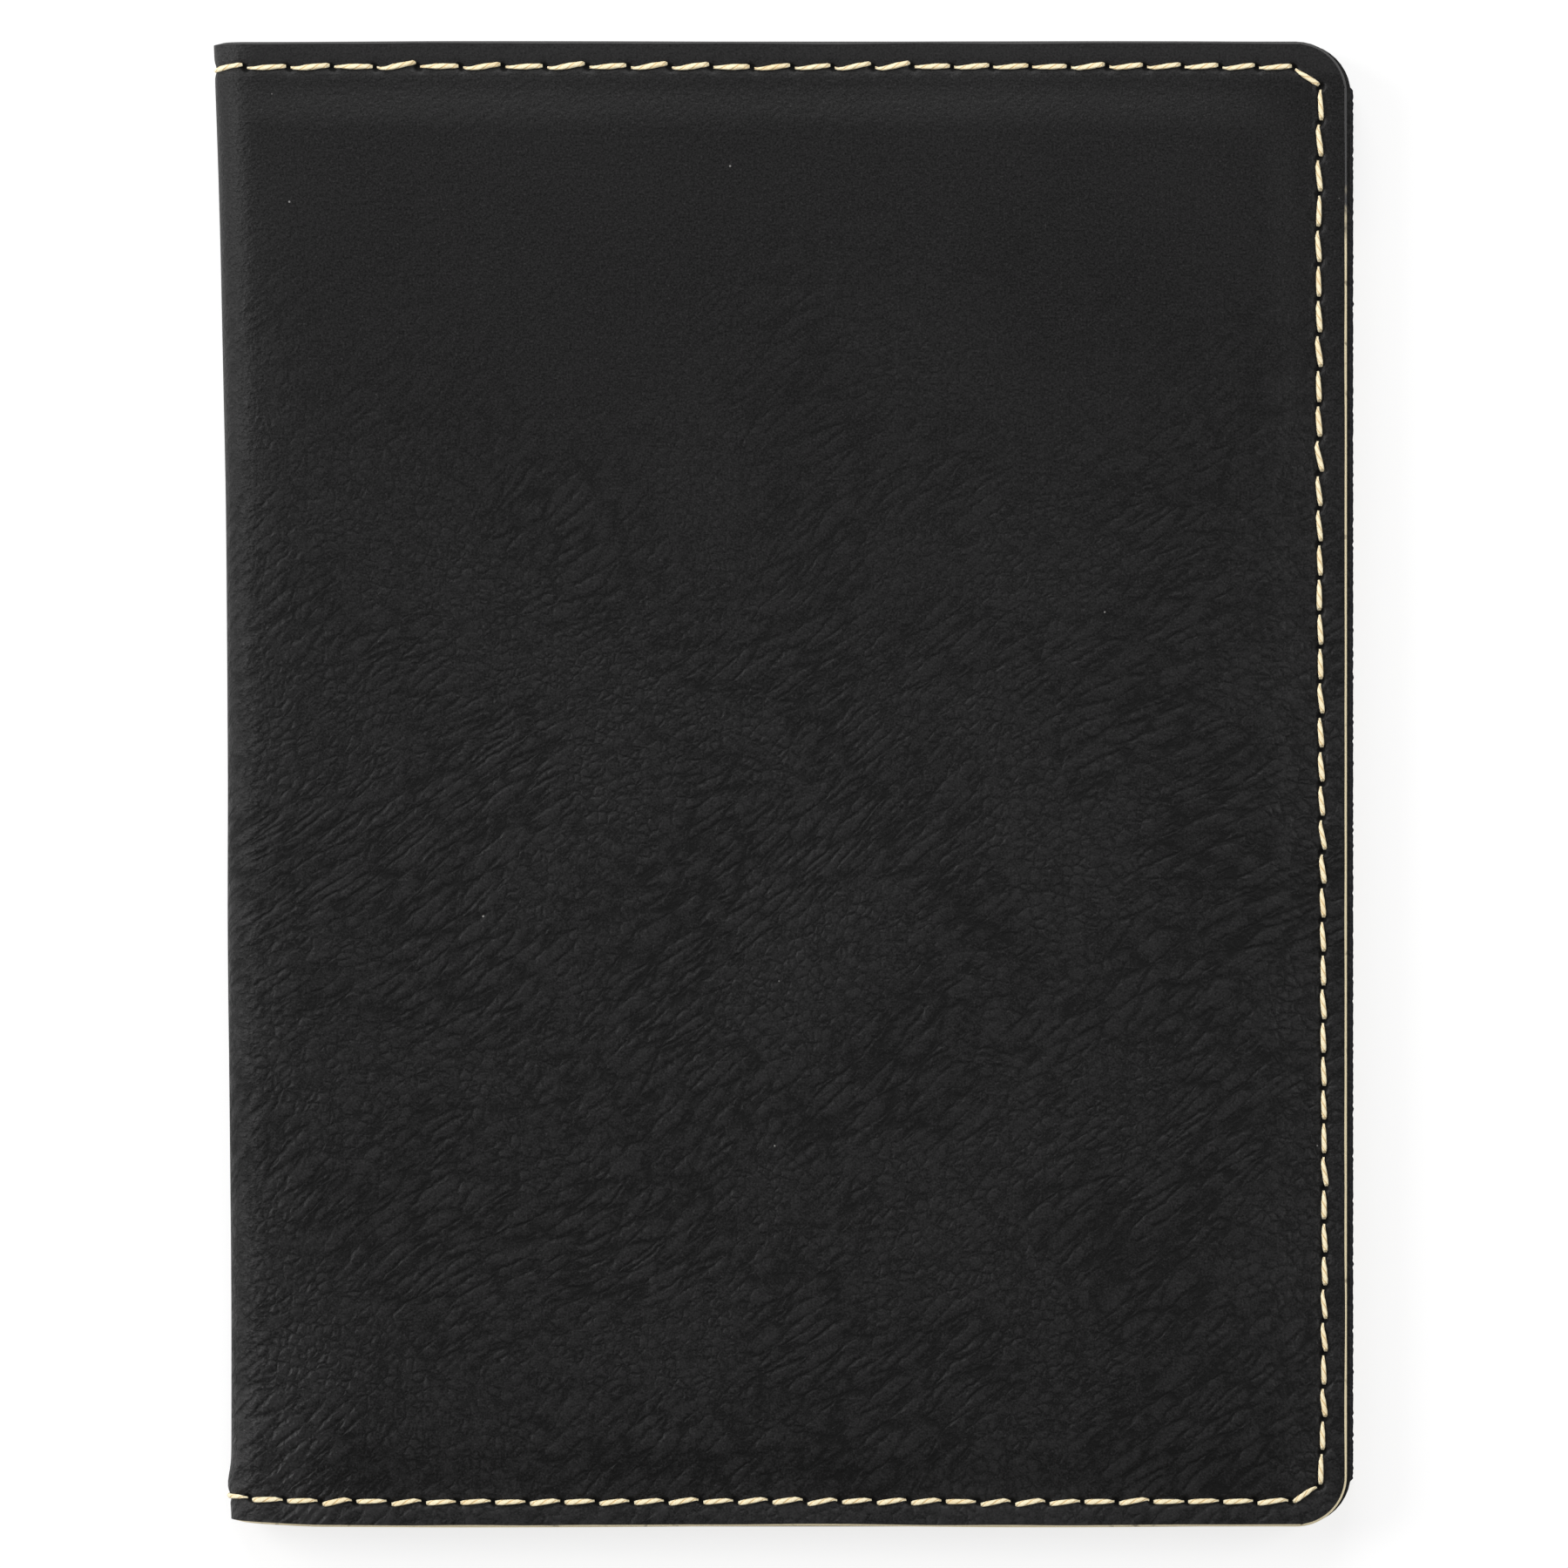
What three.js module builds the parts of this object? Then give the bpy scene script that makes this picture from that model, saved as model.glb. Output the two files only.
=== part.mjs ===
// Travel document holder: a black leatherette cover folded once round a pocket lining,
// boarded on both covers and sewn in cream thread along its top, fore-edge and bottom.
// Millimetres. The closed holder lies on its back cover: X runs from the fold to the fore-edge,
// Y up the height and Z through the thickness. The origin is under the middle of the holder.

import * as THREE from 'three';

// Overall sizes
const HOLDER_HEIGHT = 139.7;
const FRONT_WIDTH = 105.6;
const BACK_OVERHANG = 0.55;
const CORNER_RADIUS = 4.8;

// Layers, from the outside to the inside
const LEATHER_THICKNESS = 0.9;
const BOARD_THICKNESS = 0.5;
const LINING_THICKNESS = 0.3;
const SLEEVE_THICKNESS = 0.5;
const CARD_POCKET_THICKNESS = 0.3;
const COVER_SPACING = 1.4;

// Raised panel over each board
const MARGIN_WIDTH = 3.5;
const PANEL_SLOPE_WIDTH = 2.6;
const PANEL_CORNER_RADIUS = 3.2;
const BOARD_EDGE_CLEARANCE = 0.3;
const BOARD_FOLD_CLEARANCE = 0.6;

// Fold
const HINGE_GAP = 0.3;
const LINING_FOLD_CLEARANCE = 0.25;

// Pockets inside the covers
const BACK_SLEEVE_MOUTH = 40.4;
const FRONT_SLEEVE_MOUTH = 10.4;
const LOWER_CARD_POCKET_HEIGHT = 48;
const UPPER_CARD_POCKET_HEIGHT = 62;
const CARD_POCKET_MOUTH_INSET = 1.5;
const POCKET_MOUTH_RADIUS = 1.5;

// Stitching
const SEAM_INSET = 2.45;
const STITCH_PITCH = 3.35;
const NEEDLE_HOLE_SPAN = 0.6;
const STITCH_SLANT = 0.4;
const STITCH_CROWN = 0.1;
const THREAD_WIDTH = 0.6;
const THREAD_THICKNESS = 0.35;
const INNER_THREAD_THICKNESS = 0.3;
const FOLD_SEAM_CLEARANCE = 0.2;
const FOLD_GROOVE_SLOPE = 0.3;
const POCKET_SEAM_PITCH = 3.1;

// Segments of a quarter turn at a corner, of the half turn at the fold and of the panel's slope
const CORNER_SEGMENTS = 4;
const FOLD_SEGMENTS = 20;
const SLOPE_SEGMENTS = 4;

const halfHeight = HOLDER_HEIGHT / 2;
const linedCover = LEATHER_THICKNESS + BOARD_THICKNESS + LINING_THICKNESS;
const backStack = linedCover + SLEEVE_THICKNESS;
const frontStack = linedCover + SLEEVE_THICKNESS + 2 * CARD_POCKET_THICKNESS;
const closedThickness = backStack + COVER_SPACING + frontStack;
const foldRadius = closedThickness / 2;
const frontLeaf = FRONT_WIDTH - foldRadius;
const backLeaf = frontLeaf + BACK_OVERHANG;
const cardPocketLeft = FRONT_SLEEVE_MOUTH + CARD_POCKET_MOUTH_INSET;

const materials = {
  leather: new THREE.MeshStandardMaterial({ color: 0x272727, roughness: 0.45, metalness: 0 }),
  lining: new THREE.MeshStandardMaterial({ color: 0x17181d, roughness: 0.85, metalness: 0 }),
  board: new THREE.MeshStandardMaterial({ color: 0x8d8272, roughness: 0.9, metalness: 0 }),
  pocket: new THREE.MeshStandardMaterial({ color: 0x222222, roughness: 0.5, metalness: 0 }),
  thread: new THREE.MeshStandardMaterial({ color: 0xf3dc8e, roughness: 0.6, metalness: 0 }),
};

// Turns a closed surface the right way round, so that every face looks out.
function facingOut(positions, triangles) {
  const corner = (index) => new THREE.Vector3().fromArray(positions, 3 * index);
  const volume = triangles.reduce(
    (sum, [a, b, c]) => sum + corner(a).dot(corner(b).cross(corner(c))),
    0,
  );
  const faces = volume < 0 ? triangles.map(([a, b, c]) => [a, c, b]) : triangles;
  const geometry = new THREE.BufferGeometry();
  geometry.setAttribute('position', new THREE.Float32BufferAttribute(positions, 3));
  geometry.setIndex(faces.flat());
  return geometry;
}

// Joins equal rings of points one after the other and closes both ends.
function loft(rings, profile) {
  const count = profile.length;
  const positions = rings.flat().flatMap((point) => point.toArray());
  const triangles = [];
  for (let ring = 0; ring + 1 < rings.length; ring += 1) {
    for (let i = 0; i < count; i += 1) {
      const a = ring * count + i;
      const b = ring * count + ((i + 1) % count);
      triangles.push([a, b, b + count], [a, b + count, a + count]);
    }
  }
  const lastRing = (rings.length - 1) * count;
  for (const [a, b, c] of THREE.ShapeUtils.triangulateShape(profile, [])) {
    triangles.push([a, c, b], [a + lastRing, b + lastRing, c + lastRing]);
  }
  return facingOut(positions, triangles);
}

// Gives a formed surface its thickness, downwards, with walls along its open edges.
function thicken(positions, triangles, thickness) {
  const count = positions.length / 3;
  const lower = positions.map((value, i) => (i % 3 === 2 ? value - thickness : value));
  const edges = new Set(triangles.flatMap(([a, b, c]) => [`${a},${b}`, `${b},${c}`, `${c},${a}`]));
  const solid = [...triangles, ...triangles.map(([a, b, c]) => [a + count, c + count, b + count])];
  for (const edge of edges) {
    const [a, b] = edge.split(',').map(Number);
    if (!edges.has(`${b},${a}`)) {
      solid.push([a, a + count, b + count], [a, b + count, b]);
    }
  }
  return facingOut([...positions, ...lower], solid);
}

// The bottom, fore and top edges of a cover, inset from them; the side at the fold stays open.
function edgePath(startX, leaf, inset, radius) {
  const foreX = leaf - inset;
  const y = halfHeight - inset;
  const path = new THREE.Path();
  path.moveTo(startX, -y);
  path.lineTo(foreX - radius, -y);
  path.absarc(foreX - radius, -y + radius, radius, -Math.PI / 2, 0);
  path.lineTo(foreX, y - radius);
  path.absarc(foreX - radius, y - radius, radius, 0, Math.PI / 2);
  path.lineTo(startX, y);
  return path;
}

// Insets from the cut edge at which the leatherette rises from the margin to the panel.
const slopeInsets = Array.from(
  { length: SLOPE_SEGMENTS + 1 },
  (_, step) => MARGIN_WIDTH + (PANEL_SLOPE_WIDTH * step) / SLOPE_SEGMENTS,
);

// How far the leatherette lies back from the panel's face at an inset from the cut edge.
function marginDepth(inset) {
  const rise = THREE.MathUtils.smoothstep(inset, MARGIN_WIDTH, MARGIN_WIDTH + PANEL_SLOPE_WIDTH);
  return BOARD_THICKNESS * (1 - rise);
}

// The leatherette of one cover: a sewn margin round a panel that stands out by the board.
function coverLeather(leaf, panelTop, outwardZ) {
  const rings = [0, ...slopeInsets].map((inset) => ({
    z: panelTop - outwardZ * marginDepth(inset),
    points: edgePath(
      HINGE_GAP,
      leaf,
      inset,
      inset === 0 ? CORNER_RADIUS : PANEL_CORNER_RADIUS,
    ).getPoints(CORNER_SEGMENTS),
  }));
  const count = rings[0].points.length;
  const positions = rings.flatMap(({ points, z }) => points.flatMap((p) => [p.x, p.y, z]));
  const triangles = [];
  for (let ring = 0; ring + 1 < rings.length; ring += 1) {
    for (let i = 0; i + 1 < count; i += 1) {
      const outer = ring * count + i;
      const inner = outer + count;
      triangles.push([outer, outer + 1, inner + 1], [outer, inner + 1, inner]);
    }
  }
  const panel = (rings.length - 1) * count;
  for (const face of THREE.ShapeUtils.triangulateShape(rings.at(-1).points, [])) {
    triangles.push(face.map((index) => index + panel));
  }
  return thicken(positions, triangles, LEATHER_THICKNESS);
}

// A flat sheet cut from a shape, with its lower face at the given height.
function flatSheet(shape, bottom, thickness) {
  const geometry = new THREE.ExtrudeGeometry(shape, {
    depth: thickness,
    bevelEnabled: false,
    curveSegments: CORNER_SEGMENTS,
  });
  return geometry.translate(0, 0, bottom);
}

function coverShape(startX, leaf, inset, radius) {
  return new THREE.Shape(edgePath(startX, leaf, inset, radius).getPoints(CORNER_SEGMENTS));
}

function boardShape(leaf) {
  const inset = MARGIN_WIDTH + PANEL_SLOPE_WIDTH + BOARD_EDGE_CLEARANCE;
  return coverShape(HINGE_GAP + BOARD_FOLD_CLEARANCE, leaf, inset, PANEL_CORNER_RADIUS);
}

// A sleeve open towards the fold, with its mouth's two corners rounded off.
function sleeveShape(leaf, mouth) {
  const cornerX = mouth + POCKET_MOUTH_RADIUS;
  const cornerY = halfHeight - POCKET_MOUTH_RADIUS;
  const outline = edgePath(cornerX, leaf, 0, CORNER_RADIUS);
  outline.absarc(cornerX, cornerY, POCKET_MOUTH_RADIUS, Math.PI / 2, Math.PI);
  outline.lineTo(mouth, -cornerY);
  outline.absarc(cornerX, -cornerY, POCKET_MOUTH_RADIUS, Math.PI, 1.5 * Math.PI);
  return new THREE.Shape(outline.getPoints(CORNER_SEGMENTS));
}

// A card pocket open at its top, sewn down along the sleeve's mouth and in the outer seam.
function cardPocketShape(leaf, height) {
  const mouth = height - halfHeight;
  const shape = new THREE.Shape();
  shape.moveTo(cardPocketLeft, -halfHeight);
  shape.lineTo(leaf - CORNER_RADIUS, -halfHeight);
  shape.absarc(leaf - CORNER_RADIUS, -halfHeight + CORNER_RADIUS, CORNER_RADIUS, -Math.PI / 2, 0);
  shape.lineTo(leaf, mouth);
  shape.lineTo(cardPocketLeft + POCKET_MOUTH_RADIUS, mouth);
  shape.absarc(
    cardPocketLeft + POCKET_MOUTH_RADIUS,
    mouth - POCKET_MOUTH_RADIUS,
    POCKET_MOUTH_RADIUS,
    Math.PI / 2,
    Math.PI,
  );
  return shape;
}

// A rounded channel along the fold. Each station gives its half width and half height.
function foldChannel(stations, thickness) {
  const section = ({ width, height }) => {
    const arc = (x, z) =>
      new THREE.EllipseCurve(0, 0, x, z, Math.PI / 2, 1.5 * Math.PI).getPoints(FOLD_SEGMENTS);
    return [...arc(width, height), ...arc(width - thickness, height - thickness).reverse()];
  };
  const rings = stations.map((station) =>
    section(station).map((p) => new THREE.Vector3(p.x, station.y, foldRadius + p.y)),
  );
  return loft(rings, section(stations[0]));
}

// The leatherette at the fold lies back over both margins, and has a groove for the seam.
function foldLeatherStations() {
  const grooveHalf = (THREAD_WIDTH + STITCH_SLANT + FOLD_SEAM_CLEARANCE) / 2;
  const grooveDepth = (inset) => {
    const outside = Math.abs(inset - SEAM_INSET) - grooveHalf;
    return 1 - THREE.MathUtils.clamp(outside / FOLD_GROOVE_SLOPE, 0, 1);
  };
  const grooveInsets = [-1, 1].flatMap((side) => [
    SEAM_INSET + side * grooveHalf,
    SEAM_INSET + side * (grooveHalf + FOLD_GROOVE_SLOPE),
  ]);
  const insets = [...new Set([0, ...grooveInsets, ...slopeInsets])].sort((a, b) => a - b);
  const bottom = insets.map((inset) => ({
    y: inset - halfHeight,
    width: foldRadius - grooveDepth(inset) * (THREAD_THICKNESS + FOLD_SEAM_CLEARANCE),
    height: foldRadius - marginDepth(inset) - grooveDepth(inset) * FOLD_SEAM_CLEARANCE,
  }));
  const top = bottom.map((station) => ({ ...station, y: -station.y })).reverse();
  return [...bottom, ...top];
}

function foldLiningStations() {
  const radius = foldRadius - BOARD_THICKNESS - LEATHER_THICKNESS - LINING_FOLD_CLEARANCE;
  return [-halfHeight, halfHeight].map((y) => ({ y, width: radius, height: radius }));
}

// The marks along a seam where a sewn thread enters the cover, crowns and leaves it again.
function stitchMarks(length, pitch) {
  const stitches = Math.round(length / pitch);
  const step = length / stitches;
  return Array.from({ length: stitches }, (_, i) => [
    { at: (i * step + NEEDLE_HOLE_SPAN / 2) / length, lean: -0.5, crown: 0 },
    { at: ((i + 0.5) * step) / length, lean: 0, crown: 1 },
    { at: ((i + 1) * step - NEEDLE_HOLE_SPAN / 2) / length, lean: 0.5, crown: 0 },
  ]).flat();
}

// A flattened thread laid from mark to mark; each place gives a point, a side and an outward way.
function threadSolid(places, thickness) {
  const profile = [
    new THREE.Vector2(-THREAD_WIDTH / 2, 0),
    new THREE.Vector2(THREAD_WIDTH / 2, 0),
    new THREE.Vector2(THREAD_WIDTH / 2, thickness),
    new THREE.Vector2(-THREAD_WIDTH / 2, thickness),
  ];
  const rings = places.map(({ point, side, outward }) =>
    profile.map((p) => point.clone().addScaledVector(side, p.x).addScaledVector(outward, p.y)),
  );
  return loft(rings, profile);
}

// The thread on a flat face, seen from outside with each stitch leaning the same way.
function flatSeam(path, pitch, faceZ, outwardZ) {
  const outward = new THREE.Vector3(0, 0, outwardZ);
  return threadSolid(
    stitchMarks(path.getLength(), pitch).map(({ at, lean, crown }) => {
      const tangent = path.getTangent(at);
      const side = new THREE.Vector3(-tangent.y, tangent.x, 0);
      const centre = path.getPoint(at);
      const point = new THREE.Vector3(centre.x, centre.y, faceZ);
      point.addScaledVector(side, lean * STITCH_SLANT * outwardZ);
      point.addScaledVector(outward, crown * STITCH_CROWN);
      return { point, side, outward };
    }),
    THREAD_THICKNESS,
  );
}

function coverSeam(leaf, faceZ, outwardZ) {
  const start = HINGE_GAP + NEEDLE_HOLE_SPAN / 2;
  const path = edgePath(start, leaf, SEAM_INSET, CORNER_RADIUS - SEAM_INSET);
  return flatSeam(path, STITCH_PITCH, faceZ, outwardZ);
}

// The stitches that carry the seam round the fold, at the top or the bottom margin.
function foldSeam(seamY) {
  const width = foldRadius - THREAD_THICKNESS;
  const height = foldRadius - BOARD_THICKNESS;
  const length = (Math.PI * (width + height)) / 2;
  const side = new THREE.Vector3(0, 1, 0);
  const places = stitchMarks(length, STITCH_PITCH).map(({ at, lean }) => {
    const angle = Math.PI * (0.5 + at);
    const outward = new THREE.Vector3(Math.cos(angle), 0, Math.sin(angle));
    const point = new THREE.Vector3(width * outward.x, seamY, foldRadius + height * outward.z);
    point.addScaledVector(side, lean * STITCH_SLANT);
    return { point, side, outward };
  });
  return threadSolid(places, THREAD_THICKNESS);
}

// The inner thread of a cover's seam. It steps down a stitch before each sheet that it crosses.
function innerSeam(leaf, liningFace, sheets, inwardZ) {
  const start = HINGE_GAP + NEEDLE_HOLE_SPAN / 2;
  const path = edgePath(start, leaf, SEAM_INSET, CORNER_RADIUS - SEAM_INSET);
  const inward = new THREE.Vector3(0, 0, inwardZ);
  const places = stitchMarks(path.getLength(), STITCH_PITCH)
    .filter(({ crown }) => crown === 0)
    .map(({ at, lean }) => {
      const tangent = path.getTangent(at);
      const side = new THREE.Vector3(-tangent.y, tangent.x, 0);
      const centre = path.getPoint(at);
      const crossed = sheets.filter(
        ({ left, top }) => centre.x + STITCH_PITCH > left && centre.y - STITCH_PITCH < top,
      );
      const depth = crossed.reduce((sum, { thickness }) => sum + thickness, 0);
      const point = new THREE.Vector3(centre.x, centre.y, liningFace + inwardZ * depth);
      point.addScaledVector(side, -lean * STITCH_SLANT * inwardZ);
      return { point, side, outward: inward };
    });
  return threadSolid(places, INNER_THREAD_THICKNESS);
}

// The short seam that closes the card pockets beside the sleeve's mouth.
function cardPocketSeam(faceZ, bottom, top) {
  const x = cardPocketLeft + SEAM_INSET;
  const path = new THREE.Path([new THREE.Vector2(x, bottom), new THREE.Vector2(x, top)]);
  return flatSeam(path, POCKET_SEAM_PITCH, faceZ, -1);
}

function addPiece(cover, name, geometry, material) {
  const mesh = new THREE.Mesh(geometry, material);
  mesh.name = name;
  cover.add(mesh);
}

// Back cover, from the outside inwards
const backCover = new THREE.Group();
const backLeatherMargin = BOARD_THICKNESS + LEATHER_THICKNESS;
const backShape = coverShape(HINGE_GAP, backLeaf, 0, CORNER_RADIUS);
addPiece(
  backCover,
  'back_cover_leather',
  coverLeather(backLeaf, LEATHER_THICKNESS, -1),
  materials.leather,
);
addPiece(
  backCover,
  'back_board',
  flatSheet(boardShape(backLeaf), LEATHER_THICKNESS, BOARD_THICKNESS),
  materials.board,
);
addPiece(
  backCover,
  'back_lining',
  flatSheet(backShape, backLeatherMargin, LINING_THICKNESS),
  materials.lining,
);
addPiece(
  backCover,
  'back_sleeve',
  flatSheet(sleeveShape(backLeaf, BACK_SLEEVE_MOUTH), linedCover, SLEEVE_THICKNESS),
  materials.pocket,
);
addPiece(
  backCover,
  'back_seam_thread',
  coverSeam(backLeaf, BOARD_THICKNESS, -1),
  materials.thread,
);
addPiece(
  backCover,
  'back_inner_thread',
  innerSeam(
    backLeaf,
    linedCover,
    [{ left: BACK_SLEEVE_MOUTH, top: Infinity, thickness: SLEEVE_THICKNESS }],
    1,
  ),
  materials.thread,
);

// Spine, from the outside inwards
const spine = new THREE.Group();
addPiece(
  spine,
  'spine_leather',
  foldChannel(foldLeatherStations(), LEATHER_THICKNESS),
  materials.leather,
);
addPiece(
  spine,
  'spine_lining',
  foldChannel(foldLiningStations(), LINING_THICKNESS),
  materials.lining,
);
addPiece(spine, 'spine_top_thread', foldSeam(halfHeight - SEAM_INSET), materials.thread);
addPiece(spine, 'spine_bottom_thread', foldSeam(-halfHeight + SEAM_INSET), materials.thread);

// Front cover, from the outside inwards
const frontCover = new THREE.Group();
const frontLeatherMargin = closedThickness - BOARD_THICKNESS;
const frontLiningBottom = closedThickness - linedCover;
const frontSleeveBottom = frontLiningBottom - SLEEVE_THICKNESS;
const upperPocketBottom = frontSleeveBottom - CARD_POCKET_THICKNESS;
const lowerPocketBottom = upperPocketBottom - CARD_POCKET_THICKNESS;
const frontShape = coverShape(HINGE_GAP, frontLeaf, 0, CORNER_RADIUS);
addPiece(
  frontCover,
  'front_cover_leather',
  coverLeather(frontLeaf, closedThickness, 1),
  materials.leather,
);
addPiece(
  frontCover,
  'front_board',
  flatSheet(
    boardShape(frontLeaf),
    closedThickness - LEATHER_THICKNESS - BOARD_THICKNESS,
    BOARD_THICKNESS,
  ),
  materials.board,
);
addPiece(
  frontCover,
  'front_lining',
  flatSheet(frontShape, frontLiningBottom, LINING_THICKNESS),
  materials.lining,
);
addPiece(
  frontCover,
  'front_sleeve',
  flatSheet(sleeveShape(frontLeaf, FRONT_SLEEVE_MOUTH), frontSleeveBottom, SLEEVE_THICKNESS),
  materials.pocket,
);
addPiece(
  frontCover,
  'upper_card_pocket',
  flatSheet(
    cardPocketShape(frontLeaf, UPPER_CARD_POCKET_HEIGHT),
    upperPocketBottom,
    CARD_POCKET_THICKNESS,
  ),
  materials.pocket,
);
addPiece(
  frontCover,
  'lower_card_pocket',
  flatSheet(
    cardPocketShape(frontLeaf, LOWER_CARD_POCKET_HEIGHT),
    lowerPocketBottom,
    CARD_POCKET_THICKNESS,
  ),
  materials.pocket,
);
addPiece(
  frontCover,
  'front_seam_thread',
  coverSeam(frontLeaf, frontLeatherMargin, 1),
  materials.thread,
);
addPiece(
  frontCover,
  'front_inner_thread',
  innerSeam(
    frontLeaf,
    frontLiningBottom,
    [
      { left: FRONT_SLEEVE_MOUTH, top: Infinity, thickness: SLEEVE_THICKNESS },
      {
        left: cardPocketLeft,
        top: UPPER_CARD_POCKET_HEIGHT - halfHeight,
        thickness: CARD_POCKET_THICKNESS,
      },
      {
        left: cardPocketLeft,
        top: LOWER_CARD_POCKET_HEIGHT - halfHeight,
        thickness: CARD_POCKET_THICKNESS,
      },
    ],
    -1,
  ),
  materials.thread,
);
addPiece(
  frontCover,
  'card_pocket_thread',
  cardPocketSeam(
    lowerPocketBottom,
    -halfHeight + 2 * SEAM_INSET,
    -halfHeight + LOWER_CARD_POCKET_HEIGHT - SEAM_INSET,
  ),
  materials.thread,
);

const holder = new THREE.Group();
holder.add(backCover, spine, frontCover);
holder.position.x = (foldRadius - backLeaf) / 2;

export default holder;
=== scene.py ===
"""Dresses the travel document holder: its leatherette, lining, pockets, boards and sewing."""

import math
import random

import bmesh
import bpy
from mathutils import Matrix, Vector, noise


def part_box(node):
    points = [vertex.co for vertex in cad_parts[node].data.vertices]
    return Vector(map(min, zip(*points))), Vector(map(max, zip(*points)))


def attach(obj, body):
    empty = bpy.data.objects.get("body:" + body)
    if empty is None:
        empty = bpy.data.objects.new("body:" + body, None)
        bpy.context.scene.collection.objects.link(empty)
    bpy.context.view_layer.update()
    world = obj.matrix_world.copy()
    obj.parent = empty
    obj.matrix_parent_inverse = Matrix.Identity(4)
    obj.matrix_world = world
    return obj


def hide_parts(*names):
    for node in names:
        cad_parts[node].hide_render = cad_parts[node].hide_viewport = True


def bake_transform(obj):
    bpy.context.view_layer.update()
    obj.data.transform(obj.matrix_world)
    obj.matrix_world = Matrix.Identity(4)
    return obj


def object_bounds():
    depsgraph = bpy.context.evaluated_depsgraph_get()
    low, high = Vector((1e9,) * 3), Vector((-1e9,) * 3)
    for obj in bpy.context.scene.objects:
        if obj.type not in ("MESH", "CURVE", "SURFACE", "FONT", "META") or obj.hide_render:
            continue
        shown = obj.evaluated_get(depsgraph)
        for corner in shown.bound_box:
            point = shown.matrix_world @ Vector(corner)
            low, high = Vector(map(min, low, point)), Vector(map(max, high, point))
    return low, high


bl_info = {
    "name": "Travel document holder",
    "version": (1, 0, 0),
    "blender": (4, 5, 0),
    "location": "3D View > Sidebar > Holder",
    "description": "Leatherette, lining, pockets and sewing of a folding document holder",
    "category": "Add Mesh",
}

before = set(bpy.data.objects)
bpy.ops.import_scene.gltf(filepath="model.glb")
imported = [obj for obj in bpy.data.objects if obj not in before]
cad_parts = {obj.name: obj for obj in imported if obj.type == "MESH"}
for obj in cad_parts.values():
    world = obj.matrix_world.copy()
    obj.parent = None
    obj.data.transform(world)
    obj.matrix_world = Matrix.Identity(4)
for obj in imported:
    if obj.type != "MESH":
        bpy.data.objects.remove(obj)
CAD_LOW, CAD_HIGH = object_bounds()
MM = 0.001

# Sizes that the frame gives
SPINE_LOW, SPINE_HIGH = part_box("spine_leather")
BOARD_LOW, BOARD_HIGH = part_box("front_board")
LEATHER_LOW, LEATHER_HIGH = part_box("front_cover_leather")
LINING_LOW, LINING_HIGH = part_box("front_lining")
FOLD_X = SPINE_HIGH.x
MID_Z = (SPINE_LOW.z + SPINE_HIGH.z) / 2
OUTER_RADIUS = SPINE_HIGH.z - MID_Z
HALF_HEIGHT = SPINE_HIGH.y
RELIEF = BOARD_HIGH.z - BOARD_LOW.z
LEATHER = LEATHER_HIGH.z - LEATHER_LOW.z - RELIEF
LINING = LINING_HIGH.z - LINING_LOW.z
FORE_X = {1: LEATHER_HIGH.x, -1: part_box("back_cover_leather")[1].x}
COVER_NAME = {1: "front", -1: "back"}

# How closely the sheets are divided
FINE_STEP = 0.3 * MM
SLOPE_STEP = 0.25 * MM
WIDE_STEP = 4 * MM
SLOPE_LEAD = 0.6 * MM
LEATHER_RINGS = [0.42, 0.8, 1.3, 1.65, 1.9, 2.08, 2.22, 2.34, 2.45, 2.56, 2.68, 2.82, 3.0, 3.3, 3.8, 4.4]
LINING_RINGS = [0.15, 0.5, 2.0, 2.45, 2.9, 4.3]
UV_SPAN = 100

# Fine forms of the leatherette and its sewing
PANEL_CORNER = 3.2 * MM
GROOVE_DEPTH = 0.12 * MM
GROOVE_WIDTH = 0.6 * MM
HOLE_DEPTH = 0.4 * MM
HOLE_CELL = 2 * MM
LINING_GAP = 0.06 * MM
THREAD_SINK = 0.08 * MM


class HolderSizes(bpy.types.PropertyGroup):
    """Sizes of the holder's soft forms that a user would change."""

    corner_radius: bpy.props.FloatProperty(
        name="Corner radius", description="Radius of the covers' corners", default=4.8 * MM, unit="LENGTH"
    )
    margin: bpy.props.FloatProperty(
        name="Sewn margin", description="Width of the flat margin round the panel", default=3.2 * MM, unit="LENGTH"
    )
    slope: bpy.props.FloatProperty(
        name="Panel slope", description="Width of the rise from margin to panel", default=5.2 * MM, unit="LENGTH"
    )
    pillow: bpy.props.FloatProperty(
        name="Panel crown", description="How far the panel's middle swells", default=0.4 * MM, unit="LENGTH"
    )
    seam_inset: bpy.props.FloatProperty(
        name="Seam inset", description="From the cut edge to the seam", default=2.45 * MM, unit="LENGTH"
    )
    skive: bpy.props.FloatProperty(
        name="Edge slant", description="How far the cut edge slants outwards", default=0.3 * MM, unit="LENGTH"
    )
    fold_lean: bpy.props.FloatProperty(
        name="Fold lean", description="How far the fold swings from foot to head", default=1.33 * MM, unit="LENGTH"
    )
    thread_width: bpy.props.FloatProperty(
        name="Thread width", description="Width of the sewing thread", default=0.48 * MM, unit="LENGTH"
    )
    stitch_gap: bpy.props.FloatProperty(
        name="Stitch gap", description="Bare length between two stitches", default=0.42 * MM, unit="LENGTH"
    )
    stitch_slant: bpy.props.FloatProperty(
        name="Stitch slant", description="Angle of a stitch to its seam", default=math.radians(6), subtype="ANGLE"
    )


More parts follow.
